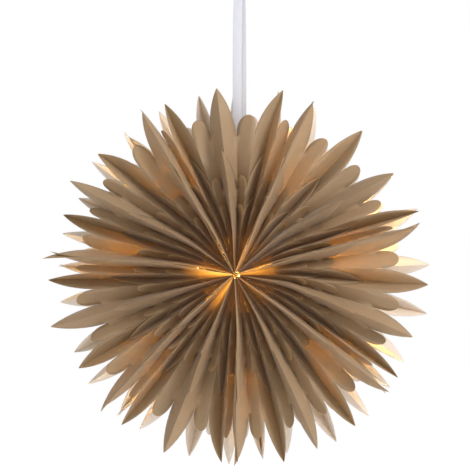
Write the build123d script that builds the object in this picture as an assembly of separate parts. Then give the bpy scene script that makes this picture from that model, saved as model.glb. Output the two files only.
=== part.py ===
"""Pleated paper snowflake star, lit from inside and hung on a satin ribbon.

The star faces -Y and hangs along -Z from the top of its ribbon loop, which is the
origin.  Two pleated halves, front and rear, stand back to back.  Each half has seven
sections round the axis, and each section is three nested sheets: a wide outer one, a
middle one and a small inner one that reaches the centre.  Every sheet has four panels
between five fold lines, and each fold line ends in a pointed petal.

Angles are in degrees, clockwise from the top as seen from the front.
"""
from build123d import *
from math import ceil, cos, log, radians, sin, sqrt, tan
import os

os.makedirs("parts", exist_ok=True)

# ---------------------------------------------------------------- paper star, mm
star_radius = 300.0           # axis to the longest petal tips
panel_width = 78.0            # paper between two folds, measured across the panel
paper = 0.3                   # thickness of the paper
halves_gap = 10.0             # between the front and rear valley folds at the centre
bore_reach = 5.5              # axis to the flat inner ends of the inner sheets
lining_reach = 60.0           # axis to the inner ends of the middle and outer sheets
even_reach = 80.0             # up to here the folds are evenly spread
reach_growth = 1.5            # from one cross-section of a panel to the next, at most
tier_gap = 4.0                # step forward from one nested sheet to the next
seam_gap = 0.4                # clear slot between two neighbouring sections
petal_share = 0.6             # part of a panel taken by its two half petals
petal_bulge = 0.74            # width of a pointed petal half way up, over its foot
tip_share = 0.04              # blunt width of a petal's very tip, over its panel
round_inset = 0.06            # rounded petal's shoulder inside its foot, over its panel
round_shoulder = 0.25         # shoulder below a rounded tip, over the petal's length
widest_opening = 0.95         # most that a panel can open flat, over its width
thread_diameter = 0.9         # thread that gathers a half at the centre

# Each sheet: petal tip, rounded petal tip and notch radius, in order from the back.
tiers = {
    "outer": (star_radius, 252.0, 223.0),
    "middle": (201.0, 156.0, 138.0),
    "inner": (133.0, 110.0, 95.0),
}

# How far each panel is fanned open, section by section, as shares of the full circle.
front_openings = (
    (6, 18, 19, 11), (18, 16, 13, 5), (18, 16, 13, 5), (15, 12, 11, 15),
    (6, 16, 16, 7), (15, 14, 15, 7), (13, 10, 13, 18),
)
rear_openings = (
    (14, 15, 17, 14), (17, 15, 15, 11), (10, 13, 14, 10), (10, 13, 16, 10),
    (11, 12, 17, 10), (11, 12, 12, 13), (13, 12, 13, 12),
)
front_first_seam = 329.8      # angle of the front half's first seam at the rim
front_even_seam = 331.5       # the same seam where the folds are evenly spread
rear_first_seam = 10.3
rear_even_seam = 16.9

# ---------------------------------------------------------------- hanging, mm
hang_drop = 455.0             # top of the ribbon loop to the star's axis
ribbon_width = 14.0
ribbon_thickness = 0.4
ribbon_loop_radius = 5.0      # inside the top loop
bar_height = 180.0            # axis of the star to the hanging bar
bar_diameter = 5.0
bar_overhang = 8.0            # bar beyond the strips that it passes through
running_clearance = 0.3

# ---------------------------------------------------------------- joining strips, mm
strip_inner = 104.0
strip_outer = 218.0
bar_strip_outer = 194.0       # the two that hold the bar end clear of the swinging ribbon
fold_clearance = 0.4          # from a fold line to the strip's edge

# ---------------------------------------------------------------- lights, mm
wire_diameter = 0.8
wire_radius_at_strips = 118.0
lamp_diameter = 4.4
wire_hole_clearance = 0.3
wire_rise = (1.5, 11.0)       # sideways and up, from the battery box to the first turn
wire_tail = (2.0, 181.0)      # beyond the strips' holes, and its angle
lamp_spots = {                # strip number: radius and angle of the lamp after it
    6: (122, 131), 5: (105, 108), 4: (160, 78), 3: (130, 50), 2: (102, 22),
    0: (112, 324), 13: (140, 298), 12: (161, 276), 11: (138, 252), 10: (150, 227),
    9: (128, 200),
}
centre_turns = (              # radius and angle of the wire's turns past the centre
    (110, 359), (70, 0), (40, 20), (35, 200), (48, 232), (56, 275), (72, 318),
    (96, 350), (116, 352), (126, 345),
)

# ---------------------------------------------------------------- battery box, mm
cell_diameter = 14.2
cell_length = 49.0
cell_nub = (5.5, 1.2)         # diameter and height of the button end
cell_play = 0.4               # round each cell
case_wall = 1.5
case_top = 134.0              # axis of the star to the box's top face
spring_height = 5.0
contact_thickness = 0.4
lid_thickness = 1.4
lid_lip = 1.2                 # edge of the case that holds the lid in
lid_play = 0.15
lid_groove = 0.75             # how deep the lid sits in each side wall
switch_room = 8.0             # height of the switch chamber above the cells
switch_travel = 3.0
switch_play = 0.1             # slider's guide to the inside of the case
guide_thickness = 1.2
guide_lap = 1.0               # guide beyond the slot at each end of its travel
guide_height = 7.0
knob_size = (4.0, 3.0)        # width and height of the switch knob
knob_stand = 1.5              # knob proud of the case, from inside its wall
spring_wire = 0.6
spring_turns = 3
spring_play = 0.05            # spring to the plate or cell at each end
contact_margin = 1.0          # edge of a contact plate inside its cell's bay
ridge_size = 1.0              # height of a grip ridge on the lid
ridge_pitch = 3.0
ridge_start = 6.0             # lid's lower edge to its first ridge
ridges = 3
shelf_thickness = 1.2
shelf_setback = 1.0           # shelf's front edge behind the lid
wire_exit = 8.0               # beside the middle of the box's top

# ---------------------------------------------------------------- derived values
folds = 28
sections = 7
panels = folds // sections
pitch = 360.0 / folds
middle_depth = (halves_gap + panel_width) / 2
centre = Vector(0, 0, -hang_drop)
loft_reach = star_radius * 1.02


def polar(radius, angle, y=0.0):
    """Point at a radius and a clockwise angle round the star's axis."""
    turn = radians(angle)
    return centre + Vector(radius * sin(turn), y, radius * cos(turn))


class Fold:
    """One straight fold line: evenly spread near the axis, fanned at the rim."""

    def __init__(self, number, even, rim, kink, depth_kink, depth_rim):
        self.even = even
        self.rim = rim
        self.kink = kink
        self.mountain = number % 2 == 0
        self.depth_kink = depth_kink
        self.depth_rim = depth_rim

    def angle(self, radius):
        """Angle of the fold at a radius."""
        if radius <= self.kink:
            return self.even
        share = (1 - self.kink / radius) / (1 - self.kink / star_radius)
        return self.even + (self.rim - self.even) * share

    def depth(self, radius):
        """Distance from the star's middle plane at a radius."""
        if radius <= self.kink:
            share = radius / self.kink
            swing = panel_width / 2 + (self.depth_kink - panel_width / 2) * share
        else:
            share = (radius - self.kink) / (star_radius - self.kink)
            swing = self.depth_kink + (self.depth_rim - self.depth_kink) * share
        return middle_depth + (swing if self.mountain else -swing)


def panel_depth(opening, radius):
    """Depth of a panel that is opened by an angle at a radius."""
    across = min(radians(opening) * radius, widest_opening * panel_width)
    return sqrt(panel_width ** 2 - across ** 2)


def make_folds(openings, first_seam, even_seam):
    """The fold lines of one half, from its first seam round to the same seam again."""
    shares = [share for row in openings for share in row]
    widths = [360.0 * share / sum(shares) for share in shares]
    notch = tiers["outer"][2]
    lines = []
    rim = first_seam
    for number in range(folds + 1):
        place = number % panels
        off_middle = radians(abs(place - panels / 2) * pitch)
        kink = even_reach / cos(off_middle)
        near = (widths[number - 1], widths[number % folds])
        at_notch = sum(panel_depth(width, notch) for width in near) / 4
        at_kink = panel_depth(pitch, kink) / 2
        slope = (at_notch - at_kink) / (notch - kink)
        at_rim = at_kink + slope * (star_radius - kink)
        even = even_seam + number * pitch
        lines.append(Fold(number, even, rim, kink, at_kink, at_rim))
        rim += widths[number % folds]
    return lines


front_folds = make_folds(front_openings, front_first_seam, front_even_seam)
rear_folds = make_folds(rear_openings, rear_first_seam, rear_even_seam)


def section_folds(lines, section):
    """The five fold lines of one section."""
    return lines[section * panels:section * panels + panels + 1]


# ---------------------------------------------------------------- pleated sheets
def zigzag_points(five, reach, middle, forward):
    """Fold points across a section, cut by a plane at a reach along its middle line."""
    points = []
    for fold in five:
        radius_even = reach / cos(radians(fold.even - middle))
        if reach <= even_reach:
            radius = radius_even
            across = radius * sin(radians(fold.even - middle))
            depth = fold.depth(radius)
        else:
            start = fold.kink
            start_across = start * sin(radians(fold.even - middle))
            start_along = start * cos(radians(fold.even - middle))
            end_across = star_radius * sin(radians(fold.rim - middle))
            end_along = star_radius * cos(radians(fold.rim - middle))
            share = (reach - start_along) / (end_along - start_along)
            across = start_across + share * (end_across - start_across)
            first, last = fold.depth(fold.kink), fold.depth(star_radius)
            depth = first + share * (last - first)
        points.append(Vector(across, depth + forward))
    beside_seam = (paper + seam_gap) / 2
    points[0] += Vector(beside_seam, 0)
    points[-1] -= Vector(beside_seam, 0)
    return points


def panel_corners(points):
    """Corners of each panel along a zigzag; neighbours share the mitre at their fold."""
    half = paper / 2
    normals = []
    for first, second in zip(points, points[1:]):
        along = (second - first).normalized()
        normals.append(Vector(-along.Y, along.X))
    inner_mitres, outer_mitres = [None], [None]
    for left, right in zip(normals, normals[1:]):
        both = left + right
        inner_mitres.append(both * (paper / both.length ** 2))
        outer_mitres.append(both * (half / 2))
    corners = []
    for number, normal in enumerate(normals):
        upper, lower = [], []
        for place in (number, number + 1):
            here = points[place]
            square = normal * half
            if place in (0, len(points) - 1):
                upper.append(here + square)
                lower.append(here - square)
                continue
            mountain = place % 2 == 0
            sign = 1 if mountain else -1
            bevel = [here + square * sign, here + outer_mitres[place] * sign]
            outside = bevel if place > number else bevel[::-1]
            inside = [here - inner_mitres[place] * sign]
            upper += outside if mountain else inside
            lower += inside if mountain else outside
        corners.append(upper + lower[::-1])
    return corners


def section_reaches(inner_reach):
    """Reaches of a panel's cross-sections, closer where its folds are sharper."""
    steps = ceil(log(even_reach / inner_reach) / log(reach_growth))
    growth = (even_reach / inner_reach) ** (1 / steps)
    beyond = (even_reach + loft_reach) / 2
    return [inner_reach * growth ** step for step in range(steps + 1)] + [beyond, loft_reach]


def panel_blanks(five, side, forward, inner_reach):
    """The section's pleated panels before their petals are cut."""
    middle = five[panels // 2].even
    along = Vector(sin(radians(middle)), 0, cos(radians(middle)))
    over = Vector(cos(radians(middle)), 0, -sin(radians(middle)))
    wires = [[] for _ in range(panels)]
    for reach in section_reaches(inner_reach):
        points = zigzag_points(five, reach, middle, forward)
        for number, corners in enumerate(panel_corners(points)):
            placed = [centre + along * reach + over * corner.X
                      + Vector(0, side * corner.Y, 0) for corner in corners]
            wires[number].append(Wire.make_polygon(placed, close=True))
    return [Solid.make_loft(rings, ruled=True) for rings in wires]


def across_panel(left, right, share, radius):
    """Point of the outline at a share of the way from one fold to the next."""
    start, end = left.angle(radius), right.angle(radius)
    return polar(radius, start + (end - start) * share)


def petal_outline(left, right, tip, round_tip, notch):
    """Closed outline of one panel: a half petal on each fold, a round one between."""
    foot = petal_share / 2
    blunt = tip_share / 2
    half_way = (tip + notch) / 2
    shoulder = round_tip - round_shoulder * (round_tip - notch)
    inset = foot + round_inset

    def place(share, radius):
        return across_panel(left, right, share, radius)

    behind = polar(lining_reach, (left.even + right.even) / 2 + 180)
    beyond_left = polar(tip, left.angle(tip) - pitch)
    beyond_right = polar(tip, right.angle(tip) + pitch)
    parts = [
        Line(place(0, tip), place(blunt, tip)),
        ThreePointArc(
            place(blunt, tip), place(foot * petal_bulge, half_way), place(foot, notch)),
        Line(place(foot, notch), place(inset, shoulder)),
        ThreePointArc(
            place(inset, shoulder), place(0.5, round_tip), place(1 - inset, shoulder)),
        Line(place(1 - inset, shoulder), place(1 - foot, notch)),
        ThreePointArc(
            place(1 - foot, notch), place(1 - foot * petal_bulge, half_way),
            place(1 - blunt, tip)),
        Line(place(1 - blunt, tip), place(1, tip)),
        Polyline(place(1, tip), beyond_right, behind, beyond_left, place(0, tip)),
    ]
    return Wire([edge for part in parts for edge in part.edges()])


def pleated_sheet(five, side, tier):
    """One folded sheet of paper with its petals, panel by panel between its scores."""
    tip, round_tip, notch = tiers[tier]
    forward = tier_gap * list(tiers).index(tier)
    inner_reach = bore_reach if tier == "inner" else lining_reach
    depth = middle_depth + panel_width
    sheet = []
    blanks = panel_blanks(five, side, forward, inner_reach)
    for blank, left, right in zip(blanks, five, five[1:]):
        outline = Face(petal_outline(left, right, tip, round_tip, notch))
        sheet.append(blank & extrude(outline, amount=depth, dir=(0, 1, 0), both=True))
    return Compound(sheet)


def pleated_half(name, lines, side):
    """Every sheet of one half, keyed by node name."""
    sheets = {}
    for tier in tiers:
        for section in range(sections):
            five = section_folds(lines, section)
            sheets[f"{name}_{tier}_pleat_{section + 1}"] = pleated_sheet(five, side, tier)
    return sheets


# ---------------------------------------------------------------- joining strips
def valley_pairs():
    """Front and rear valley folds that one strip ties together."""
    front = [line for line in front_folds[:-1] if not line.mountain]
    rear = [line for line in rear_folds[:-1] if not line.mountain]
    shift = len(rear) - 2
    return [(line, rear[(number + shift) % len(rear)]) for number, line in enumerate(front)]


def strip_ends(pair, radius):
    """Where a strip meets its front and rear folds at a radius."""
    front, rear = pair
    near = polar(radius, front.angle(radius), -(front.depth(radius) - fold_clearance))
    far = polar(radius, rear.angle(radius), rear.depth(radius) - fold_clearance)
    return near, far


def strip_middle(pair, radius):
    """Point of a strip in the star's middle plane."""
    near, far = strip_ends(pair, radius)
    return near + (far - near) * (-near.Y / (far.Y - near.Y))


def joining_strip(pair, reach):
    """A paper strip from a front valley fold to a rear one, out to a radius."""
    wires = []
    for radius in (strip_inner, reach):
        near, far = strip_ends(pair, radius)
        outward = (strip_middle(pair, radius) - centre).normalized()
        normal = outward.cross((far - near).normalized()).normalized() * (paper / 2)
        corners = [near + normal, far + normal, far - normal, near - normal]
        wires.append(Wire.make_polygon(corners, close=True))
    return Solid.make_loft(wires, ruled=True)


# ---------------------------------------------------------------- battery box
cell_space = cell_diameter + cell_play
case_width = 2 * cell_space + 2 * case_wall
cells_long = cell_length + spring_height + 2 * contact_thickness
case_height = cells_long + switch_room + 3 * case_wall
lid_room = lid_thickness + 2 * lid_play
case_depth = lid_lip + lid_room + cell_space + case_wall
case_bottom = case_top + case_height
case_front = -case_depth / 2
case_middle_z = centre.Z - (case_top + case_bottom) / 2
cells_low = centre.Z - case_bottom + case_wall
cells_y = case_depth / 2 - case_wall - cell_space / 2
switch_low = cells_low + cells_long + case_wall
switch_z = switch_low + switch_room / 2


def block(size, low):
    """A box from its lowest corner."""
    return Pos(*low) * Box(*size, align=(Align.MIN, Align.MIN, Align.MIN))


def make_case(left):
    """Battery case with a cell bay, lid grooves and a switch chamber."""
    low = (left, case_front, centre.Z - case_bottom)
    case = block((case_width, case_depth, case_height), low)
    case = fillet(case.edges().filter_by(Axis.Z), case_wall / 2)
    inside = case_width - 2 * case_wall
    case -= block((inside, lid_lip + lid_room + cell_space, cells_long),
                  (left + case_wall, case_front, cells_low))
    lid_high = cells_low + cells_long - low[2]
    groove = (inside + 2 * lid_groove, lid_room, lid_high)
    case -= block(groove, (left + case_wall - lid_groove, case_front + lid_lip, low[2]))
    case -= block((inside, lid_lip, case_wall), (left + case_wall, case_front, low[2]))
    case -= block((inside, case_depth - 2 * case_wall, switch_room),
                  (left + case_wall, case_front + case_wall, switch_low))
    slot = (knob_size[0] + switch_travel + 2 * running_clearance, case_wall,
            knob_size[1] + 2 * running_clearance)
    case -= block(slot, (left + case_width / 2 - slot[0] / 2, case_front,
                         switch_z - slot[2] / 2))
    exit_hole = Cylinder(wire_diameter / 2 + wire_hole_clearance, 3 * case_wall)
    return case - Pos(left + case_width / 2 + wire_exit, 0, centre.Z - case_top) * exit_hole


def make_lid(left):
    """Sliding lid with a raised thumb grip."""
    inside = case_width - 2 * case_wall
    width = inside + 2 * lid_groove - 2 * lid_play
    height = cells_low + cells_long - (centre.Z - case_bottom) - running_clearance
    low = (left + (case_width - width) / 2, case_front + lid_lip + lid_play,
           centre.Z - case_bottom)
    lid = block((width, lid_thickness, height), low)
    ridge = (inside / 2, lid_lip, ridge_size)
    for number in range(ridges):
        height = low[2] + ridge_start + ridge_pitch * number
        lid += block(ridge, (left + case_width / 2 - ridge[0] / 2, low[1] - lid_lip, height))
    return lid


def make_cells(left):
    """Two cells side by side, lying opposite ways."""
    cells = []
    for number in range(2):
        x = left + case_wall + cell_space * (number + 0.5)
        cell = Cylinder(cell_diameter / 2, cell_length - cell_nub[1])
        nub = Cylinder(cell_nub[0] / 2, cell_nub[1])
        cell += Pos(0, 0, cell_length / 2) * nub
        cell = Pos(0, 0, -cell_nub[1] / 2) * cell
        turn = 0 if number == 0 else 180
        lift = contact_thickness + cell_length / 2
        lift += spring_height if number == 0 else 0
        cells.append(Pos(x, cells_y, cells_low + lift) * Rot(0, turn, 0) * cell)
    return cells


def make_contacts(left):
    """A flat plate at both ends of each cell, and a coil spring at its flat end."""
    contacts = []
    plate_side = cell_space - 2 * contact_margin
    high = cells_low + cells_long - contact_thickness
    for number in range(2):
        x = left + case_wall + cell_space * (number + 0.5)
        for z in (cells_low, high):
            corner = (x - plate_side / 2, cells_y - plate_side / 2, z)
            contacts.append(block((plate_side, plate_side, contact_thickness), corner))
        rise = spring_height - spring_wire - 2 * spring_play
        low = cells_low + contact_thickness if number == 0 else high - spring_height
        coil = Helix(rise / spring_turns, rise, cell_diameter / 4)
        start = Plane(coil @ 0, z_dir=coil % 0)
        spring = sweep(start * Circle(spring_wire / 2), path=coil, is_frenet=True)
        contacts.append(Pos(x, cells_y, low + spring_wire / 2 + spring_play) * spring)
    return contacts


def make_switch(left):
    """Slider of the switch: a guide inside the case and a knob through its slot."""
    x = left + case_width / 2 - switch_travel / 2
    guide = (knob_size[0] + 2 * switch_travel + 2 * guide_lap, guide_thickness, guide_height)
    front = case_front + case_wall + switch_play
    slider = block(guide, (x - guide[0] / 2, front, switch_z - guide[2] / 2))
    knob = (knob_size[0], case_wall + knob_stand, knob_size[1])
    return slider + block(knob, (x - knob[0] / 2, front - knob[1],
                                 switch_z - knob[2] / 2))


# ---------------------------------------------------------------- lights
def wire_route(pairs, box_middle):
    """Corners of the lamp wire, all in the star's middle plane."""
    holes = [strip_middle(pair, wire_radius_at_strips) for pair in pairs]
    start = Vector(box_middle + wire_exit, 0, centre.Z - case_top - case_wall / 2)
    points = [start, start + Vector(wire_rise[0], 0, wire_rise[1])]
    for number in (7, 6, 5, 4, 3, 2, 1):
        points.append(holes[number])
        if number in lamp_spots:
            points.append(polar(*lamp_spots[number]))
    points += [polar(*spot) for spot in centre_turns]
    for number in (0, 13, 12, 11, 10, 9):
        points.append(holes[number])
        points.append(polar(*lamp_spots[number]))
    points.append(holes[8])
    points.append(polar(wire_radius_at_strips + wire_tail[0], wire_tail[1]))
    return points


def corner_radii(points):
    """Fillet radius at each inner corner, as large as its two runs allow."""
    radii = []
    for before, here, after in zip(points, points[1:], points[2:]):
        turn = radians((here - before).get_angle(after - here))
        shorter = min((here - before).length, (after - here).length)
        radii.append(0.45 * shorter / tan(turn / 2))
    return radii


def lamp_places(path, points):
    """Lamps on the wire: beside each marked corner, at the centre and at the end."""
    marks = [polar(*spot) for spot in lamp_spots.values()] + [centre, points[-1]]
    return [path.position_at(path.param_at_point(path.closest_points(mark)[0]))
            for mark in marks]


# ---------------------------------------------------------------- hanging parts
def make_ribbon():
    """Closed ribbon loop round the hanging bar and up to the hook's place."""
    bar_bend = bar_diameter / 2 + running_clearance
    low = centre.Z + bar_height
    high = -(ribbon_loop_radius + ribbon_thickness)

    def belt(extra):
        bottom = Pos(0, low) * Circle(bar_bend + extra)
        top = Pos(0, high) * Circle(ribbon_loop_radius + extra)
        outline = Plane.YZ * make_hull(bottom.edges() + top.edges())
        return extrude(outline, amount=ribbon_width / 2, dir=(1, 0, 0), both=True)

    return belt(ribbon_thickness) - belt(0)


def make_bar(pairs):
    """Round bar through the two uppermost strips."""
    left = strip_middle(pairs[0], bar_height).X - bar_overhang
    right = strip_middle(pairs[1], bar_height).X + bar_overhang
    bar = Cylinder(bar_diameter / 2, right - left)
    return Pos((left + right) / 2, 0, centre.Z + bar_height) * Rot(0, 90, 0) * bar


def strip_x(pair, drop, y):
    """Where a strip below the axis stands at a drop and a depth."""
    radius = drop / abs(cos(radians(pair[0].angle(drop))))
    near, far = strip_ends(pair, radius)
    share = (y - near.Y) / (far.Y - near.Y)
    return near.X + (far.X - near.X) * share


def make_shelf(pairs):
    """Card shelf under the battery case, from strip to strip."""
    front = case_front + lid_lip + lid_room + shelf_setback
    rear = case_depth / 2
    corners = []
    for pair, side, depths in ((pairs[8], 1, (front, rear)), (pairs[7], -1, (rear, front))):
        for y in depths:
            x = strip_x(pair, case_bottom, y) + side * (paper + running_clearance)
            corners.append(Vector(x, y, centre.Z - case_bottom))
    face = Face(Wire.make_polygon(corners, close=True))
    return extrude(face, amount=shelf_thickness, dir=(0, 0, -1))


def make_thread(side):
    """Thread ring that gathers the inner ends of one half's sheets."""
    ring_radius = bore_reach - running_clearance - thread_diameter / 2
    ring = Torus(ring_radius, thread_diameter / 2)
    place = centre + Vector(0, side * (middle_depth + 2 * tier_gap), 0)
    return Pos(*place) * Rot(90, 0, 0) * ring


# ---------------------------------------------------------------- assembly
pairs = valley_pairs()
box_drop = (case_top + case_bottom) / 2
box_middle = (strip_x(pairs[7], box_drop, 0) + strip_x(pairs[8], box_drop, 0)) / 2
box_left = box_middle - case_width / 2

route = wire_route(pairs, box_middle)
radii = corner_radii(route)
print("lamp wire bend radii, mm:", [round(radius, 1) for radius in radii])
wire_line = FilletPolyline(*route, radius=radii)


def round_wire(diameter):
    """A round tube along the lamp wire's line."""
    start = Plane(wire_line @ 0, z_dir=wire_line % 0)
    return sweep(start * Circle(diameter / 2), path=wire_line)


wire = round_wire(wire_diameter)
wire_room = round_wire(wire_diameter + 2 * wire_hole_clearance)
bar = make_bar(pairs)
bar_room = Pos(*bar.center()) * Rot(0, 90, 0) * Cylinder(
    bar_diameter / 2 + running_clearance, star_radius)

strips = []
for number, pair in enumerate(pairs):
    holds_bar = number < 2
    reach = bar_strip_outer if holds_bar else strip_outer
    strip = joining_strip(pair, reach) - wire_room
    if holds_bar:
        strip -= bar_room
    strips.append(strip)

lamps = []
for place in lamp_places(wire_line, route):
    lamps.append(Pos(*place) * Sphere(lamp_diameter / 2) - wire_room)

nodes = {}
nodes.update(pleated_half("front", front_folds, -1))
nodes.update(pleated_half("rear", rear_folds, 1))
nodes["front_centre_thread"] = make_thread(-1)
nodes["rear_centre_thread"] = make_thread(1)
nodes["joining_strips"] = Compound(strips)
nodes["hanging_bar"] = bar
nodes["ribbon_loop"] = make_ribbon()
nodes["led_wire"] = wire
nodes["led_lamps"] = Compound(lamps)
nodes["battery_shelf"] = make_shelf(pairs)
nodes["battery_case"] = make_case(box_left)
nodes["battery_lid"] = make_lid(box_left)
nodes["battery_cells"] = Compound(make_cells(box_left))
nodes["battery_contacts"] = Compound(make_contacts(box_left))
nodes["switch_slider"] = make_switch(box_left)

for name, shape in nodes.items():
    export_step(shape, f"parts/{name}.step")
print("nodes:", len(nodes), "box middle:", round(box_middle, 2))
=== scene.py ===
"""A pleated paper snowflake star, lit from inside and hung on a satin ribbon."""

import math
import random

import bmesh
import bpy
from bpy.props import EnumProperty, FloatProperty, FloatVectorProperty
from bpy.props import IntProperty, PointerProperty
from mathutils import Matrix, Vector


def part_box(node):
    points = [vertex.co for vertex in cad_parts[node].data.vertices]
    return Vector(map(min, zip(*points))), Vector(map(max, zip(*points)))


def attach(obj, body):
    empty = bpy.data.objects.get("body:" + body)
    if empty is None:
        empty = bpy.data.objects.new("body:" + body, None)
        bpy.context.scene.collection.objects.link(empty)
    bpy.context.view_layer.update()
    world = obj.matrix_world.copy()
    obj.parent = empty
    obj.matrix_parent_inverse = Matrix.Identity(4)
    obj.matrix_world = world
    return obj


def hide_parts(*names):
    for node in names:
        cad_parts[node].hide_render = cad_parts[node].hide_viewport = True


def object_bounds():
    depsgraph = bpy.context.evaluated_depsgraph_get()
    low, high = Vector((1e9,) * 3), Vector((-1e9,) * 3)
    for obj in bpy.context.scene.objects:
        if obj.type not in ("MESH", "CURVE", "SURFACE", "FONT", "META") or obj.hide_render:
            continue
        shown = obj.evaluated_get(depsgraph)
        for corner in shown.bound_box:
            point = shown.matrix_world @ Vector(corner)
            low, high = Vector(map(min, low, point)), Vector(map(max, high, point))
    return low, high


bl_info = {
    "name": "Paper Snowflake Star",
    "version": (1, 0, 0),
    "blender": (4, 5, 0),
    "location": "View3D > Sidebar > Paper Star",
    "description": "Builds a pleated paper star with lamps inside, on a satin ribbon",
    "category": "Add Mesh",
}

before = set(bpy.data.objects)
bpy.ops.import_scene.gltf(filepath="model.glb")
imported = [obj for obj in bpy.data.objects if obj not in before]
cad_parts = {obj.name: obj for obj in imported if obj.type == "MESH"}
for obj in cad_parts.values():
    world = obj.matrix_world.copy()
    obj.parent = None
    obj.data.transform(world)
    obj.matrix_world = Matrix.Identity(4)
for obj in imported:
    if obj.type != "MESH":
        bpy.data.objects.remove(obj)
CAD_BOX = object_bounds()

MM = 0.001
FRONT = -1
REAR = 1
FOLDS = 28
SECTIONS = 7
PANELS = FOLDS // SECTIONS
PITCH = 360.0 / FOLDS
TIERS = ("outer", "middle", "inner")


def box_middle(node):
    """Middle of a node's box."""
    low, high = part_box(node)
    return (low + high) / 2


BAR = box_middle("hanging_bar")
STAR_CENTRE = Vector((0.0, 0.0, box_middle("front_centre_thread").z))


# ------------------------------------------------------------------ user settings
class PaperStarSizes(bpy.types.PropertyGroup):
    """Sizes of the folded paper."""
    radius: FloatProperty(
        name="Radius", description="Axis to the longest petal tips",
        default=0.300, unit="LENGTH")
    panel_width: FloatProperty(
        name="Panel width", description="Paper between two folds",
        default=0.078, unit="LENGTH")
    paper: FloatProperty(
        name="Paper", description="Thickness of the paper",
        default=0.0004, unit="LENGTH")
    halves_gap: FloatProperty(
        name="Gap", description="Between the two halves' valley folds at the centre",
        default=0.010, unit="LENGTH")
    tier_gap: FloatProperty(
        name="Sheet step", description="Step from one nested sheet to the next",
        default=0.004, unit="LENGTH")
    curl: FloatProperty(
        name="Curl", description="How far petal tips bend forward or back at most",
        default=0.008, unit="LENGTH")
    seed: IntProperty(
        name="Seed", description="Start of the small differences between petals",
        default=11)


class PaperStarColours(bpy.types.PropertyGroup):
    """Colours of the paper, ribbon and light."""
    outside: FloatVectorProperty(
        name="Outside", description="Coloured side of the paper", subtype="COLOR",
        size=3, min=0.0, max=1.0, default=(0.270, 0.190, 0.118))
    inside: FloatVectorProperty(
        name="Inside", description="White side of the paper", subtype="COLOR",
        size=3, min=0.0, max=1.0, default=(0.72, 0.64, 0.555))
    glow: FloatVectorProperty(
        name="Glow", description="Light that comes through the paper", subtype="COLOR",
        size=3, min=0.0, max=1.0, default=(1.0, 0.77, 0.36))
    lamp: FloatVectorProperty(
        name="Lamp", description="Light of the lamps", subtype="COLOR",
        size=3, min=0.0, max=1.0, default=(1.0, 0.60, 0.13))
    ribbon: FloatVectorProperty(
        name="Ribbon", description="Satin of the ribbon", subtype="COLOR",
        size=3, min=0.0, max=1.0, default=(0.52, 0.53, 0.58))


# ------------------------------------------------------------------ materials
def new_material(name):
    """An empty node material with a Principled shader."""
    material = bpy.data.materials.new(name)
    material.use_nodes = True
    return material, material.node_tree.nodes, material.node_tree.links


def grain(nodes, links, scale, detail, low, high):
    """Noise in the object's own space, squeezed to the range from low to high."""
    place = nodes.new("ShaderNodeTexCoord")
    noise = nodes.new("ShaderNodeTexNoise")
    noise.inputs["Scale"].default_value = scale
    noise.inputs["Detail"].default_value = detail
    links.new(place.outputs["Object"], noise.inputs["Vector"])
    span = nodes.new("ShaderNodeMapRange")
    span.inputs["From Min"].default_value = 0.3
    span.inputs["From Max"].default_value = 0.7
    span.inputs["To Min"].default_value = low
    span.inputs["To Max"].default_value = high
    links.new(noise.outputs["Fac"], span.inputs["Value"])
    return span.outputs["Result"]


def tinted(nodes, links, colour, factor):
    """A colour multiplied by a grey factor."""
    mix = nodes.new("ShaderNodeMix")
    mix.data_type = "RGBA"
    mix.blend_type = "MULTIPLY"
    mix.inputs["Factor"].default_value = 1.0
    mix.inputs["A"].default_value = (*colour, 1.0)
    links.new(factor, mix.inputs["B"])
    return mix.outputs["Result"]


def times(nodes, links, first, second):
    """Product of two values."""
    product = nodes.new("ShaderNodeMath")
    product.operation = "MULTIPLY"
    links.new(first, product.inputs[0])
    links.new(second, product.inputs[1])
    return product.outputs["Value"]


def bump(nodes, links, height, strength, distance):
    """A bump normal from a height."""
    node = nodes.new("ShaderNodeBump")
    node.inputs["Strength"].default_value = strength
    node.inputs["Distance"].default_value = distance
    links.new(height, node.inputs["Height"])
    return node.outputs["Normal"]


def paint_lamp_glow(nodes, links, shader):
    """Paints a glow into the paper's emission from its painted glow attribute: painted light
    where lamps are close behind the paper.
    """
    painted_glow = nodes.new("ShaderNodeAttribute")
    painted_glow.attribute_name = "painted_glow"
    ramp = nodes.new("ShaderNodeValToRGB")
    stops = ramp.color_ramp.elements
    stops[0].color = (0.0, 0.0, 0.0, 1.0)
    stops[1].color = (1.0, 0.64, 0.12, 1.0)
    # Painted glow colours, from a faint warm brown through amber to yellow.
    for place, colour in ((0.2, (0.072, 0.033, 0.009)), (0.55, (0.52, 0.23, 0.030))):
        stops.new(place).color = (*colour, 1.0)
    links.new(painted_glow.outputs["Fac"], ramp.inputs["Fac"])
    links.new(ramp.outputs["Color"], shader.inputs["Emission Color"])
    shader.inputs["Emission Strength"].default_value = 1.0


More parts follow.
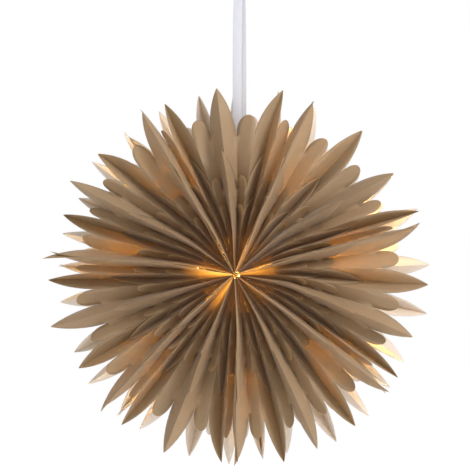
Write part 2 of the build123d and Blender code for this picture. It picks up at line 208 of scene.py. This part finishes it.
def paper_material(name, colour, glow, through, sheen):
    """Paper with fine flecks, soft mottling, some light coming through and a painted lamp
    glow in its emission.
    """
    material, nodes, links = new_material(name)
    shader = nodes["Principled BSDF"]
    flecks = grain(nodes, links, 1400.0, 3.0, 0.86, 1.12)
    clouds = grain(nodes, links, 22.0, 2.0, 0.94, 1.05)
    both = times(nodes, links, flecks, clouds)
    links.new(tinted(nodes, links, colour, both), shader.inputs["Base Color"])
    links.new(grain(nodes, links, 500.0, 2.0, 0.50, 0.66), shader.inputs["Roughness"])
    links.new(bump(nodes, links, flecks, 0.25, 0.0002), shader.inputs["Normal"])
    shader.inputs["Specular IOR Level"].default_value = 0.35
    shader.inputs["Sheen Weight"].default_value = sheen
    shader.inputs["Sheen Roughness"].default_value = 0.4
    # Painted lamp glow in the emission, from the painted glow attribute.
    paint_lamp_glow(nodes, links, shader)
    veil = nodes.new("ShaderNodeBsdfTranslucent")
    veil.inputs["Color"].default_value = (*glow, 1.0)
    mix = nodes.new("ShaderNodeMixShader")
    mix.inputs["Fac"].default_value = through
    links.new(shader.outputs["BSDF"], mix.inputs[1])
    links.new(veil.outputs["BSDF"], mix.inputs[2])
    links.new(mix.outputs["Shader"], nodes["Material Output"].inputs["Surface"])
    return material


def satin_material(name, colour):
    """Satin ribbon with fine threads along it."""
    material, nodes, links = new_material(name)
    shader = nodes["Principled BSDF"]
    place = nodes.new("ShaderNodeTexCoord")
    stretch = nodes.new("ShaderNodeMapping")
    stretch.inputs["Scale"].default_value = (2600.0, 2600.0, 60.0)
    links.new(place.outputs["Object"], stretch.inputs["Vector"])
    threads = nodes.new("ShaderNodeTexNoise")
    threads.inputs["Scale"].default_value = 1.0
    links.new(stretch.outputs["Vector"], threads.inputs["Vector"])
    span = nodes.new("ShaderNodeMapRange")
    span.inputs["To Min"].default_value = 0.82
    span.inputs["To Max"].default_value = 1.1
    links.new(threads.outputs["Fac"], span.inputs["Value"])
    links.new(tinted(nodes, links, colour, span.outputs["Result"]),
              shader.inputs["Base Color"])
    links.new(bump(nodes, links, threads.outputs["Fac"], 0.3, 0.0001),
              shader.inputs["Normal"])
    shader.inputs["Roughness"].default_value = 0.34
    shader.inputs["Anisotropic"].default_value = 0.6
    shader.inputs["Sheen Weight"].default_value = 0.3
    return material


def plain_material(name, colour, low, high, metallic=0.0, scale=300.0):
    """A hard finish with a fine moulded or brushed grain."""
    material, nodes, links = new_material(name)
    shader = nodes["Principled BSDF"]
    shade = grain(nodes, links, scale, 3.0, 0.92, 1.06)
    links.new(tinted(nodes, links, colour, shade), shader.inputs["Base Color"])
    links.new(grain(nodes, links, scale * 3, 2.0, low, high), shader.inputs["Roughness"])
    links.new(bump(nodes, links, shade, 0.1, 0.0001), shader.inputs["Normal"])
    shader.inputs["Metallic"].default_value = metallic
    return material


def wood_material(name):
    """Pale dowel with grain along its length."""
    material, nodes, links = new_material(name)
    shader = nodes["Principled BSDF"]
    place = nodes.new("ShaderNodeTexCoord")
    stretch = nodes.new("ShaderNodeMapping")
    stretch.inputs["Scale"].default_value = (25.0, 900.0, 900.0)
    links.new(place.outputs["Object"], stretch.inputs["Vector"])
    rings = nodes.new("ShaderNodeTexNoise")
    rings.inputs["Scale"].default_value = 1.0
    rings.inputs["Detail"].default_value = 4.0
    links.new(stretch.outputs["Vector"], rings.inputs["Vector"])
    ramp = nodes.new("ShaderNodeValToRGB")
    ramp.color_ramp.elements[0].color = (0.36, 0.22, 0.11, 1.0)
    ramp.color_ramp.elements[1].color = (0.68, 0.50, 0.30, 1.0)
    links.new(rings.outputs["Fac"], ramp.inputs["Fac"])
    links.new(ramp.outputs["Color"], shader.inputs["Base Color"])
    shader.inputs["Roughness"].default_value = 0.55
    return material


def lamp_material(name, colour):
    """A lit drop of clear resin."""
    material, nodes, links = new_material(name)
    shader = nodes["Principled BSDF"]
    links.new(tinted(nodes, links, colour, grain(nodes, links, 900.0, 1.0, 0.9, 1.05)),
              shader.inputs["Base Color"])
    shader.inputs["Roughness"].default_value = 0.2
    shader.inputs["Emission Color"].default_value = (*colour, 1.0)
    shader.inputs["Emission Strength"].default_value = 14.0
    return material


def finish_node(node, material):
    """Gives a carried-over piece its finish."""
    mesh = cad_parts[node].data
    mesh.materials.clear()
    mesh.materials.append(material)


# ------------------------------------------------------------------ folded paper
FRONT_OPENINGS = (
    (6, 18, 19, 11), (18, 16, 13, 5), (18, 16, 13, 5), (15, 12, 11, 15),
    (6, 16, 16, 7), (15, 14, 15, 7), (13, 10, 13, 18),
)
REAR_OPENINGS = (
    (14, 15, 17, 14), (17, 15, 15, 11), (10, 13, 14, 10), (10, 13, 16, 10),
    (11, 12, 17, 10), (11, 12, 12, 13), (13, 12, 13, 12),
)
FIRST_SEAM = {FRONT: (329.8, 331.5), REAR: (10.3, 16.9)}
TIER_RADII = {              # petal tip, rounded petal tip, notch and inner end
    "outer": (0.300, 0.252, 0.223, 0.060),
    "middle": (0.201, 0.156, 0.138, 0.060),
    "inner": (0.133, 0.110, 0.095, 0.0055),
}
EVEN_REACH = 0.080
SEAM_STEP = 0.00005
SEAM_OPENING = {FRONT: (0.0022, 0.0012, 0.0016, 0.0003, 0.0002, 0.0014, 0.0018),
                REAR: (0.0004,) * SECTIONS}
OPEN_REACH = 0.105          # the seams' openings close again at this radius
# Painted glow: a faint warm glow painted over the centre, and brighter painted wedges where
# lamps sit close behind the paper.
CENTRE_PAINTED_GLOW = 0.14
CENTRE_PAINTED_GLOW_REACH = 0.110
PAINTED_GLOW_WEDGES = {             # angle, spread in degrees, reach and strength
    FRONT: ((275.0, 9.0, 0.066, 0.95), (82.0, 6.5, 0.060, 0.62), (217.0, 8.0, 0.058, 0.72),
            (129.0, 5.0, 0.055, 0.32), (22.0, 5.5, 0.070, 0.34)),
    REAR: ((60.0, 8.0, 0.060, 0.4), (200.0, 8.0, 0.060, 0.4)),
}
TIER_LIFT = {"outer": (0.0, 0.0), "middle": (0.004, 0.013), "inner": (0.003, 0.010)}
PETAL_FOOT = 0.3            # share of a panel under each half petal
NOTCH_SHARE = 0.95          # the cuts between petals go a little past the notch
ROW_STEPS = 10              # rows of faces along a panel or a petal
SHARP_FOLD = 0.25           # radians between two faces at a score
THROUGH = {"covered": 0.24, "outer": 0.16}  # light through covered and outermost sheets
INSIDE_THROUGH = 1.2        # the white side lets this many times as much through
CREASE_SWING = (0.38, 0.30)  # small creases off the panel, over its depth: centre, rim


class Fold:
    """One fold line: evenly spread near the axis, fanned at the rim."""

    def __init__(self, number, even, rim, kink, swing_centre, swing_kink, swing_rim,
                 radius, middle):
        self.number = number
        self.even = even
        self.rim = rim
        self.kink = kink
        self.swings = (swing_centre, swing_kink, swing_rim)
        self.radius = radius
        self.middle = middle
        self.mountain = number % 2 == 0

    def angle(self, radius):
        """Angle of the fold at a radius, in degrees clockwise from the top."""
        if radius <= self.kink:
            return self.even
        share = (1 - self.kink / radius) / (1 - self.kink / self.radius)
        return self.even + (self.rim - self.even) * share

    def depth(self, radius):
        """Distance from the star's middle plane at a radius."""
        centre, kink, rim = self.swings
        if radius <= self.kink:
            swing = centre + (kink - centre) * radius / self.kink
        else:
            share = (radius - self.kink) / (self.radius - self.kink)
            swing = kink + (rim - kink) * share
        return self.middle + (swing if self.mountain else -swing)


def make_folds(sizes, openings, side):
    """The fold lines of one half, once round."""
    shares = [share for row in openings for share in row]
    widths = [360.0 * share / sum(shares) for share in shares]
    notch = TIER_RADII["outer"][2]
    rim, even = FIRST_SEAM[side]
    panel = sizes.panel_width

    def depth(opening, radius):
        across = min(math.radians(opening) * radius, 0.95 * panel)
        return math.sqrt(panel ** 2 - across ** 2)

    lines = []
    for number in range(FOLDS + 1):
        off_middle = math.radians(abs(number % PANELS - PANELS / 2) * PITCH)
        kink = EVEN_REACH / math.cos(off_middle)
        near = (widths[number - 1], widths[number % FOLDS])
        at_notch = sum(depth(width, notch) for width in near) / 4
        at_kink = depth(PITCH, kink) / 2
        slope = (at_notch - at_kink) / (notch - kink)
        at_rim = at_kink + slope * (sizes.radius - kink)
        lines.append(Fold(number, even + number * PITCH, rim, kink, panel / 2, at_kink,
                          at_rim, sizes.radius, (sizes.halves_gap + panel) / 2))
        rim += widths[number % FOLDS]
    return lines


class Panel:
    """One panel between two folds, with the small differences of its petals."""

    def __init__(self, left, right, side, forward, openings):
        self.left = left
        self.right = right
        self.side = side
        self.forward = forward
        self.openings = openings

    def pull(self, end, radius):
        """Angle by which the panel stands back from a seam, in degrees."""
        if self.openings[end] is None:
            return 0.0
        wave = math.sin(math.pi * min(radius / OPEN_REACH, 1.0))
        return math.degrees((SEAM_STEP + self.openings[end] * wave) / radius)

    def crease(self, share, radius):
        """How far the small creases beside the rounded petal bring the paper forward."""
        rim = TIER_RADII["outer"][2]
        inner, outer = CREASE_SWING
        swing = inner + (outer - inner) * min(radius / rim, 1.0)
        swing *= abs(self.left.depth(radius) - self.right.depth(radius))
        if share < PETAL_FOOT:
            wave = -share / PETAL_FOOT
        elif share > 1 - PETAL_FOOT:
            wave = (1 - share) / PETAL_FOOT
        else:
            wave = (share - 0.5) / (0.5 - PETAL_FOOT)
        return swing * wave * (1 if self.left.mountain else -1)

    def point(self, share, radius, lift=0.0, turn=0.0):
        """Point of the panel at a share from its left fold to its right one."""
        start = self.left.angle(radius) + self.pull(0, radius)
        end = self.right.angle(radius) - self.pull(1, radius)
        angle = math.radians(start + (end - start) * share + turn)
        depth = self.left.depth(radius)
        depth += (self.right.depth(radius) - depth) * share
        depth += self.crease(share, radius) + self.forward + lift
        return STAR_CENTRE + Vector((radius * math.sin(angle), self.side * depth,
                                     radius * math.cos(angle)))


def add_grid(mesh, rows, side):
    """Faces between rows of points that run across the panel."""
    verts = [[mesh.verts.new(point) for point in row] for row in rows]
    for low, high in zip(verts, verts[1:]):
        for column in range(len(low) - 1):
            corners = (low[column], low[column + 1], high[column + 1], high[column])
            mesh.faces.new(corners if side == FRONT else corners[::-1])


def pointed_width(height):
    """Width of a pointed petal over its foot, at a height from 0 to 1."""
    return (1.0 - height ** 1.6) ** 0.92


def rounded_width(height):
    """Width of a rounded petal over its foot, at a height from 0 to 1."""
    return (1.0 - height ** 3) ** 0.5


def petal_rows(panel, columns, width, centre, foot, notch, tip, bend):
    """Rows of one petal or half petal, from its notch to its tip."""
    curl, turn = bend
    rows = []
    for step in range(ROW_STEPS + 1):
        height = math.sin(step / ROW_STEPS * math.pi / 2)
        radius = notch + (tip - notch) * height
        half = foot * width(height)
        lift = curl * height ** 2
        rows.append([panel.point(centre + half * column, radius, lift,
                                 turn * height ** 2) for column in columns])
    return rows


def panel_rows(panel, inner, notch):
    """Rows of the panel's whole part, below its petals."""
    shares = (0.0, 0.1, 0.2, 0.3, 0.4, 0.5, 0.6, 0.7, 0.8, 0.9, 1.0)
    rows = []
    for step in range(ROW_STEPS + 1):
        radius = inner * (notch / inner) ** (step / ROW_STEPS)
        rows.append([panel.point(share, radius) for share in shares])
    return rows


def painted_glow_at(point, side):
    """Strength of the painted glow at a point, from 0 to 1: painted light for the lamps
    shining through the paper, plus a faint painted warm glow near the centre.
    """
    across = point - STAR_CENTRE
    radius = math.hypot(across.x, across.z)
    angle = math.degrees(math.atan2(across.x, across.z))
    painted_glow = CENTRE_PAINTED_GLOW * math.exp(-radius / CENTRE_PAINTED_GLOW_REACH)
    for middle, spread, reach, strength in PAINTED_GLOW_WEDGES[side]:
        off = (angle - middle + 180.0) % 360.0 - 180.0
        painted_glow += strength * math.exp(-(off / spread) ** 2 - (radius / reach) ** 3)
    return min(painted_glow, 1.0)


def build_sheet(name, section, five, side, tier, sizes, chance):
    """One folded sheet of a section, with its petals, as a paper mesh."""
    tip, round_tip, notch, inner = TIER_RADII[tier]
    notch *= NOTCH_SHARE
    forward = sizes.tier_gap * TIERS.index(tier)
    least, most = TIER_LIFT[tier]
    bends = [(chance.uniform(-1, 1) * sizes.curl * tip / sizes.radius
              + chance.uniform(least, most), chance.uniform(-1.2, 1.2)) for _ in five]
    stretch = [chance.uniform(0.955, 1.0) for _ in five]
    share = 1.0 if tier == "inner" else 0.0
    gaps = SEAM_OPENING[side]
    mesh = bmesh.new()
    for place, (left, right) in enumerate(zip(five, five[1:])):
        first = gaps[section] * share if place == 0 else None
        last = gaps[(section + 1) % SECTIONS] * share if place == PANELS - 1 else None
        panel = Panel(left, right, side, forward, (first, last))
        add_grid(mesh, panel_rows(panel, inner, notch), side)
        round_bend = (chance.uniform(-0.6, 1) * sizes.curl
                      + chance.uniform(least, most), chance.uniform(-1, 1))
        add_grid(mesh, petal_rows(panel, (0, 1 / 3, 2 / 3, 1), pointed_width, 0.0,
                                  PETAL_FOOT, notch, tip * stretch[place],
                                  bends[place]), side)
        add_grid(mesh, petal_rows(panel, (-1, -0.5, 0, 0.5, 1), rounded_width, 0.5,
                                  0.5 - PETAL_FOOT, notch,
                                  round_tip * chance.uniform(0.98, 1.01), round_bend),
                 side)
        add_grid(mesh, petal_rows(panel, (-1, -2 / 3, -1 / 3, 0), pointed_width, 1.0,
                                  PETAL_FOOT, notch, tip * stretch[place + 1],
                                  bends[place + 1]), side)
    bmesh.ops.remove_doubles(mesh, verts=mesh.verts, dist=0.00002)
    bmesh.ops.dissolve_degenerate(mesh, edges=mesh.edges, dist=0.00001)
    for edge in mesh.edges:
        edge.smooth = not (edge.is_manifold and edge.calc_face_angle(0.0) > SHARP_FOLD)
    for face in mesh.faces:
        face.smooth = True
    data = bpy.data.meshes.new(name)
    mesh.to_mesh(data)
    mesh.free()
    # Painted glow per vertex, which the paper's emission reads as painted lamp light.
    painted_glow = data.attributes.new("painted_glow", "FLOAT", "POINT")
    for vertex in data.vertices:
        painted_glow.data[vertex.index].value = painted_glow_at(vertex.co, side)
    piece = bpy.data.objects.new(name, data)
    bpy.context.scene.collection.objects.link(piece)
    return piece


def thicken(piece, thickness):
    """Gives a sheet its paper thickness, with its second material inside."""
    solid = piece.modifiers.new("paper", "SOLIDIFY")
    solid.thickness = thickness
    solid.offset = 0.0
    solid.material_offset = 1
    solid.material_offset_rim = 0


class PAPERSTAR_OT_half(bpy.types.Operator):
    """Fold the nested sheets of one half"""
    bl_idname = "paper_star.half"
    bl_label = "Fold One Half"

    half: EnumProperty(name="Half", items=(("front", "Front", "Towards the viewer"),
                                           ("rear", "Rear", "Away from the viewer")))

    def execute(self, context):
        sizes = context.scene.paper_star_sizes
        colours = context.scene.paper_star_colours
        side = FRONT if self.half == "front" else REAR
        openings = FRONT_OPENINGS if side == FRONT else REAR_OPENINGS
        papers = []
        for name, through in THROUGH.items():
            papers.append((
                paper_material(f"{self.half}_{name}_paper_outside", colours.outside,
                               colours.glow, through, 0.1),
                paper_material(f"{self.half}_{name}_paper_inside", colours.inside,
                               colours.glow, through * INSIDE_THROUGH, 0.0)))
        lines = make_folds(sizes, openings, side)
        chance = random.Random(sizes.seed + side)
        for tier in TIERS:
            for section in range(SECTIONS):
                node = f"{self.half}_{tier}_pleat_{section + 1}"
                five = lines[section * PANELS:section * PANELS + PANELS + 1]
                piece = build_sheet(node.replace("pleat", "petals"), section, five, side,
                                    tier, sizes, chance)
                for paper in papers[tier == "outer"]:
                    piece.data.materials.append(paper)
                thicken(piece, sizes.paper)
                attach(piece, "star")
                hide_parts(node)
        return {"FINISHED"}


# ------------------------------------------------------------------ ribbon
def ribbon_route():
    """Middle line of the ribbon: up behind the bar's rear side, over, and down."""
    rear = 0.0030
    side = 0.0035
    loop = 0.0052
    low = BAR.z
    return [
        (side, rear, low), (side, rear + 0.0002, low + 0.030),
        (side, rear + 0.0006, low + 0.090), (side * 0.95, rear + 0.0012, low + 0.160),
        (side * 0.8, rear + 0.0018, low + 0.220), (side * 0.5, loop, -0.018),
        (side * 0.2, loop, -0.0052), (side * 0.1, loop, -0.0002),
        (-side * 0.1, -loop, -0.0002), (-side * 0.2, -loop, -0.0052),
        (-side * 0.5, -loop, -0.018), (-side * 0.8, -rear - 0.0018, low + 0.220),
        (-side * 0.95, -rear - 0.0012, low + 0.160), (-side, -rear - 0.0006, low + 0.090),
        (-side, -rear - 0.0002, low + 0.030), (-side, -rear, low),
    ]


def smooth_line(points):
    """Points along a smooth spline with the given control points."""
    data = bpy.data.curves.new("ribbon_line", "CURVE")
    data.dimensions = "3D"
    spline = data.splines.new("NURBS")
    spline.points.add(len(points) - 1)
    for target, point in zip(spline.points, points):
        target.co = (*point, 1.0)
    spline.order_u = 3
    spline.use_endpoint_u = True
    spline.resolution_u = 12
    holder = bpy.data.objects.new("ribbon_line", data)
    bpy.context.scene.collection.objects.link(holder)
    bpy.context.view_layer.update()
    mesh = bpy.data.meshes.new_from_object(holder)
    line = [vertex.co.copy() for vertex in mesh.vertices]
    bpy.data.objects.remove(holder)
    return line


def flat_band(name, line, width, thickness):
    """A flat ribbon along a line, its width across X."""
    mesh = bmesh.new()
    rings = []
    steps = 8
    for number, point in enumerate(line):
        before = line[max(number - 1, 0)]
        after = line[min(number + 1, len(line) - 1)]
        along = (after - before).normalized()
        across = Vector((1, 0, 0))
        across = (across - along * across.dot(along)).normalized()
        normal = along.cross(across)
        ring = []
        for side in (1, -1):
            for step in range(steps + 1):
                share = (step / steps * 2 - 1) * side
                bow = 0.0004 * (1 - share ** 2)
                offset = across * (share * width / 2) + normal * (side * thickness / 2 + bow)
                ring.append(mesh.verts.new(point + offset))
        rings.append(ring)
    count = len(rings[0])
    for low, high in zip(rings, rings[1:]):
        for number in range(count):
            follow = (number + 1) % count
            mesh.faces.new((low[number], low[follow], high[follow], high[number]))
    mesh.faces.new(rings[0][::-1])
    mesh.faces.new(rings[-1])
    bmesh.ops.recalc_face_normals(mesh, faces=mesh.faces)
    for face in mesh.faces:
        face.smooth = True
    for edge in mesh.edges:
        edge.smooth = edge.calc_face_angle(0.0) < 0.8
    data = bpy.data.meshes.new(name)
    mesh.to_mesh(data)
    mesh.free()
    piece = bpy.data.objects.new(name, data)
    bpy.context.scene.collection.objects.link(piece)
    return piece


class PAPERSTAR_OT_ribbon(bpy.types.Operator):
    """Hang the satin ribbon over its hook"""
    bl_idname = "paper_star.ribbon"
    bl_label = "Hang The Ribbon"

    def execute(self, context):
        colours = context.scene.paper_star_colours
        line = smooth_line(ribbon_route())
        width = 0.014
        ribbon = flat_band("satin_ribbon", line, width, 0.0004)
        ribbon.data.materials.append(satin_material("ribbon_satin", colours.ribbon))
        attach(ribbon, "ribbon")
        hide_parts("ribbon_loop")
        return {"FINISHED"}


# ------------------------------------------------------------------ inner parts
class PAPERSTAR_OT_lights(bpy.types.Operator):
    """Finish the lamps and their wire, and light them"""
    bl_idname = "paper_star.lights"
    bl_label = "Light The Lamps"

    def execute(self, context):
        colours = context.scene.paper_star_colours
        finish_node("led_lamps", lamp_material("lamp_resin", colours.lamp))
        finish_node("led_wire", plain_material("lacquered_copper", (0.60, 0.30, 0.14),
                                               0.25, 0.4, 1.0))
        return {"FINISHED"}


class PAPERSTAR_OT_inner(bpy.types.Operator):
    """Finish the strips, threads, bar, shelf and battery box"""
    bl_idname = "paper_star.inner"
    bl_label = "Finish Inner Parts"

    def execute(self, context):
        colours = context.scene.paper_star_colours
        finish_node("joining_strips", paper_material(
            "strip_paper", colours.inside, colours.glow, 0.3, 0.0))
        thread = plain_material("waxed_thread", (0.62, 0.52, 0.40), 0.6, 0.8, 0.0, 2500.0)
        finish_node("front_centre_thread", thread)
        finish_node("rear_centre_thread", thread)
        finish_node("hanging_bar", wood_material("pale_dowel"))
        finish_node("battery_shelf", plain_material("grey_board", (0.50, 0.42, 0.32),
                                                    0.7, 0.9))
        case = plain_material("case_plastic", (0.80, 0.80, 0.77), 0.35, 0.5)
        finish_node("battery_case", case)
        finish_node("battery_lid", case)
        finish_node("battery_cells", plain_material("cell_sleeve", (0.03, 0.04, 0.06),
                                                    0.25, 0.35, 0.3))
        finish_node("battery_contacts", plain_material("contact_steel", (0.7, 0.7, 0.7),
                                                       0.2, 0.35, 1.0))
        finish_node("switch_slider", plain_material("switch_plastic", (0.03, 0.03, 0.03),
                                                    0.2, 0.3))
        return {"FINISHED"}


# ------------------------------------------------------------------ stage
CAMERA_DISTANCE = 4.7
CAMERA_TURN = math.radians(5.0)
CAMERA_DIP = math.radians(-2.0)
AIM = Vector((-0.0070, 0.0, 0.0634))
FOCAL = 231.0
WORLD_FRONT = 0.66
WORLD_BEHIND = 1.0
AREA_LIGHTS = (             # name, place from the star's centre, size, power, colour
    ("key_light", (2.3, -1.7, 1.7), 1.0, 95.0, (1.0, 0.97, 0.93)),
    ("fill_light", (-0.5, -3.2, 0.2), 1.4, 10.0, (0.95, 0.97, 1.0)),
)
INNER_RING = 0.13           # radius of the seven lights between the halves
INNER_RING_START = 25       # angle of the first, in degrees
INNER_POWER = 0.3           # at the centre
INNER_RING_POWER = 3.2
FLOOR_RADIUS = 12.0
FLOOR_SIDES = 96
FLOOR_DROP = 0.45           # floor below the star's lowest point


def aim_at(holder, place, target):
    """Turns a camera or light at a place towards a target."""
    holder.location = place
    holder.rotation_euler = (target - place).to_track_quat("-Z", "Y").to_euler()


def add_area(name, place, target, size, power, colour):
    """A square soft light."""
    data = bpy.data.lights.new(name, "AREA")
    data.size = size
    data.energy = power
    data.color = colour
    holder = bpy.data.objects.new(name, data)
    bpy.context.scene.collection.objects.link(holder)
    aim_at(holder, place, target)


def studio_world(name, front, back):
    """A white room that is brighter behind the star than in front of it."""
    world = bpy.data.worlds.new(name)
    world.use_nodes = True
    nodes, links = world.node_tree.nodes, world.node_tree.links
    place = nodes.new("ShaderNodeTexCoord")
    parts = nodes.new("ShaderNodeSeparateXYZ")
    links.new(place.outputs["Generated"], parts.inputs["Vector"])
    span = nodes.new("ShaderNodeMapRange")
    span.inputs["From Min"].default_value = -0.3
    span.inputs["From Max"].default_value = 0.8
    span.inputs["To Min"].default_value = front
    span.inputs["To Max"].default_value = back
    links.new(parts.outputs["Y"], span.inputs["Value"])
    nodes["Background"].inputs["Color"].default_value = (1.0, 1.0, 1.0, 1.0)
    links.new(span.outputs["Result"], nodes["Background"].inputs["Strength"])
    return world


class PAPERSTAR_OT_stage(bpy.types.Operator):
    """Set the camera, the soft lights and the pale floor"""
    bl_idname = "paper_star.stage"
    bl_label = "Set The Stage"

    def execute(self, context):
        scene = context.scene
        target = STAR_CENTRE + AIM
        data = bpy.data.cameras.new("camera")
        data.lens = FOCAL
        data.sensor_width = 36.0
        data.clip_end = 50.0
        camera = bpy.data.objects.new("camera", data)
        scene.collection.objects.link(camera)
        level = CAMERA_DISTANCE * math.cos(CAMERA_DIP)
        offset = Vector((level * math.sin(CAMERA_TURN), -level * math.cos(CAMERA_TURN),
                         CAMERA_DISTANCE * math.sin(CAMERA_DIP)))
        aim_at(camera, target + offset, target)
        scene.camera = camera

        for name, place, size, power, colour in AREA_LIGHTS:
            add_area(name, STAR_CENTRE + Vector(place), STAR_CENTRE, size, power, colour)
        scene.world = studio_world("studio", WORLD_FRONT, WORLD_BEHIND)
        scene.view_settings.view_transform = "Standard"

        spots = [(0.0, 0.0)]
        for number in range(SECTIONS):
            spots.append((INNER_RING, 360.0 / SECTIONS * number + INNER_RING_START))
        colours = scene.paper_star_colours
        for number, (radius, angle) in enumerate(spots):
            lamp = bpy.data.lights.new(f"inner_light_{number}", "POINT")
            lamp.energy = INNER_POWER if number == 0 else INNER_RING_POWER
            lamp.color = colours.lamp
            lamp.shadow_soft_size = 0.012
            holder = bpy.data.objects.new(f"inner_light_{number}", lamp)
            turn = math.radians(angle)
            holder.location = STAR_CENTRE + Vector((radius * math.sin(turn), 0.0,
                                                    radius * math.cos(turn)))
            scene.collection.objects.link(holder)

        mesh = bmesh.new()
        height = CAD_BOX[0][2] - FLOOR_DROP
        rim = []
        for number in range(FLOOR_SIDES):
            turn = 2 * math.pi * number / FLOOR_SIDES
            rim.append(mesh.verts.new((FLOOR_RADIUS * math.cos(turn),
                                       FLOOR_RADIUS * math.sin(turn), height)))
        mesh.faces.new(rim)
        data = bpy.data.meshes.new("studio_floor")
        mesh.to_mesh(data)
        mesh.free()
        floor = bpy.data.objects.new("studio_floor", data)
        scene.collection.objects.link(floor)
        pale, nodes, links = new_material("pale_floor")
        nodes["Principled BSDF"].inputs["Base Color"].default_value = (0.9, 0.9, 0.9, 1)
        nodes["Principled BSDF"].inputs["Roughness"].default_value = 0.9
        nodes["Principled BSDF"].inputs["Emission Color"].default_value = (1, 1, 1, 1)
        nodes["Principled BSDF"].inputs["Emission Strength"].default_value = 0.35
        data.materials.append(pale)
        return {"FINISHED"}


# ------------------------------------------------------------------ panel
class PAPERSTAR_PT_panel(bpy.types.Panel):
    """Buttons and settings of the paper star"""
    bl_idname = "PAPERSTAR_PT_panel"
    bl_label = "Paper Star"
    bl_space_type = "VIEW_3D"
    bl_region_type = "UI"
    bl_category = "Paper Star"

    def draw(self, context):
        layout = self.layout
        for half in ("front", "rear"):
            layout.operator(PAPERSTAR_OT_half.bl_idname).half = half
        for operator in (PAPERSTAR_OT_ribbon, PAPERSTAR_OT_lights, PAPERSTAR_OT_inner,
                         PAPERSTAR_OT_stage):
            layout.operator(operator.bl_idname)
        for group in (context.scene.paper_star_sizes, context.scene.paper_star_colours):
            for name in group.__annotations__:
                layout.prop(group, name)


CLASSES = (
    PaperStarSizes, PaperStarColours, PAPERSTAR_OT_half, PAPERSTAR_OT_ribbon,
    PAPERSTAR_OT_lights, PAPERSTAR_OT_inner, PAPERSTAR_OT_stage, PAPERSTAR_PT_panel,
)


def register():
    """Adds the classes and the scene's settings."""
    for cls in CLASSES:
        bpy.utils.register_class(cls)
    bpy.types.Scene.paper_star_sizes = PointerProperty(type=PaperStarSizes)
    bpy.types.Scene.paper_star_colours = PointerProperty(type=PaperStarColours)


def unregister():
    """Removes what register added."""
    del bpy.types.Scene.paper_star_colours
    del bpy.types.Scene.paper_star_sizes
    for cls in reversed(CLASSES):
        bpy.utils.unregister_class(cls)


def main():
    """Builds the star and its stage."""
    register()
    bpy.ops.paper_star.stage()
    bpy.ops.paper_star.ribbon()
    bpy.ops.paper_star.half(half="front")
    bpy.ops.paper_star.half(half="rear")
    bpy.ops.paper_star.lights()
    bpy.ops.paper_star.inner()


if __name__ == "__main__":
    main()
